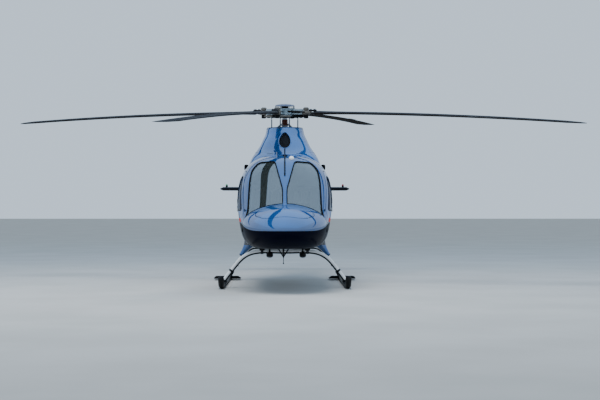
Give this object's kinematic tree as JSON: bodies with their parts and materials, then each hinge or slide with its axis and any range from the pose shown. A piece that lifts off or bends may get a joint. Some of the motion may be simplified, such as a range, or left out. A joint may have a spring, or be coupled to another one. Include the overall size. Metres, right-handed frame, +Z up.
{
  "type": "light single-engine helicopter on skids",
  "caption": "Full-size light helicopter with a tilted multi-blade main rotor, hollow glazed cabin with hinged doors, tail boom with side rotor, and tubular skid gear.",
  "frame": {"origin": "on the ground the skids stand on, under the middle of the whole machine's box, on its centre plane", "axes": "+Z up, +Y towards the tail, -Y towards the nose, +X towards the machine's left side"},
  "size_m": [10.2082, 12.5738, 3.2118],
  "materials": {
    "blue_paint": "glossy metallic mid-blue paint",
    "dark_paint": "satin navy paint",
    "white_paint": "satin white paint",
    "grey_paint": "satin grey paint",
    "black_coating": "matt black anti-slip coating",
    "blade_coating": "matt dark composite blade finish",
    "bare_steel": "machined light steel",
    "cast_metal": "cast light alloy",
    "seat_leather": "light taupe leather",
    "black_plastic": "matt black moulded plastic",
    "white_plastic": "glossy white moulded plastic",
    "glazing": "clear, faintly green-grey acrylic glazing",
    "lamp_glass": "clear lamp lens over a bright reflector"
  },
  "bodies": {
    "airframe": {"nose_shell": "blue_paint", "cabin_frame": "blue_paint", "windshield_left": "glazing", "windshield_right": "glazing", "aft_window_left": "glazing", "aft_window_right": "glazing", "aft_fuselage": "blue_paint", "pylon_fairing": "blue_paint", "inlet_screen": "black_coating", "engine_cowling": "blue_paint", "exhaust": "bare_steel", "engine_and_gearbox": "cast_metal", "tail_boom": "blue_paint", "upper_fin": "blue_paint", "lower_fin": "blue_paint", "stabilizer_left": "dark_paint", "stabilizer_right": "dark_paint", "skid_left": "black_coating", "skid_right": "black_coating", "front_cross_tube": "white_paint", "rear_cross_tube": "white_paint", "leg_fairing_left": "blue_paint", "leg_fairing_right": "blue_paint", "cabin_floor": "grey_paint", "crew_seat_left": "seat_leather", "crew_seat_right": "seat_leather", "middle_bench": "seat_leather", "rear_bench": "seat_leather", "instrument_panel": "black_plastic", "belly_lamp_left": "lamp_glass", "belly_lamp_right": "lamp_glass", "upper_wire_cutter": "black_coating", "lower_wire_cutter": "black_coating", "scoop_left": "blue_paint", "scoop_right": "blue_paint", "antenna_dome": "white_plastic"},
    "main_rotor": {"main_blade_1": "blade_coating", "main_blade_2": "blade_coating", "main_blade_3": "blade_coating", "main_blade_4": "blade_coating", "rotor_hub": "bare_steel", "rotor_cap": "grey_paint", "mast": "bare_steel"},
    "tail_rotor": {"tail_rotor": "blade_coating"},
    "crew_door_left": {"crew_door_left": "blue_paint", "crew_window_left": "glazing"},
    "crew_door_right": {"crew_door_right": "blue_paint", "crew_window_right": "glazing"},
    "cabin_door_left": {"cabin_door_left": "blue_paint", "cabin_window_left": "glazing"},
    "cabin_door_right": {"cabin_door_right": "blue_paint", "cabin_window_right": "glazing"},
    "baggage_door": {"baggage_door": "blue_paint"},
    "nose_bay_lid": {"nose_bay_lid": "blue_paint"},
    "cowl_door_left": {"cowl_door_left": "blue_paint"},
    "cowl_door_right": {"cowl_door_right": "blue_paint"}
  },
  "joints": [
    {"name": "main_rotor_turn", "type": "hinge", "parent": "airframe", "child": "main_rotor", "pos_m": [0, -1.2, 3.05], "axis": [0, -0.0523, 0.9986], "continuous": true},
    {"name": "tail_rotor_turn", "type": "hinge", "parent": "airframe", "child": "tail_rotor", "pos_m": [0.33, 5.31687, 2.02], "axis": [1, 0, 0], "continuous": true},
    {"name": "crew_door_left_swing", "type": "hinge", "parent": "airframe", "child": "crew_door_left", "pos_m": [0.712, -4.04, 1.1], "axis": [0, 0, -1], "range_deg": [0, 75]},
    {"name": "crew_door_right_swing", "type": "hinge", "parent": "airframe", "child": "crew_door_right", "pos_m": [-0.712, -4.04, 1.1], "axis": [0, 0, 1], "range_deg": [0, 75]},
    {"name": "cabin_door_left_swing", "type": "hinge", "parent": "airframe", "child": "cabin_door_left", "pos_m": [0.803, -2.75, 1.3], "axis": [0, 0, -1], "range_deg": [0, 75]},
    {"name": "cabin_door_right_swing", "type": "hinge", "parent": "airframe", "child": "cabin_door_right", "pos_m": [-0.803, -2.75, 1.3], "axis": [0, 0, 1], "range_deg": [0, 75]},
    {"name": "baggage_door_swing", "type": "hinge", "parent": "airframe", "child": "baggage_door", "pos_m": [0.748, -0.645, 1.28], "axis": [0, 0, -1], "range_deg": [0, 90]},
    {"name": "nose_bay_lid_swing", "type": "hinge", "parent": "airframe", "child": "nose_bay_lid", "pos_m": [0, -4.32, 1.372], "axis": [-1, 0, 0], "range_deg": [0, 60]},
    {"name": "cowl_door_left_swing", "type": "hinge", "parent": "airframe", "child": "cowl_door_left", "pos_m": [0.302, -0.13, 2.614], "axis": [0, -1, 0], "range_deg": [0, 80]},
    {"name": "cowl_door_right_swing", "type": "hinge", "parent": "airframe", "child": "cowl_door_right", "pos_m": [-0.302, -0.13, 2.614], "axis": [0, 1, 0], "range_deg": [0, 80]}
  ]
}
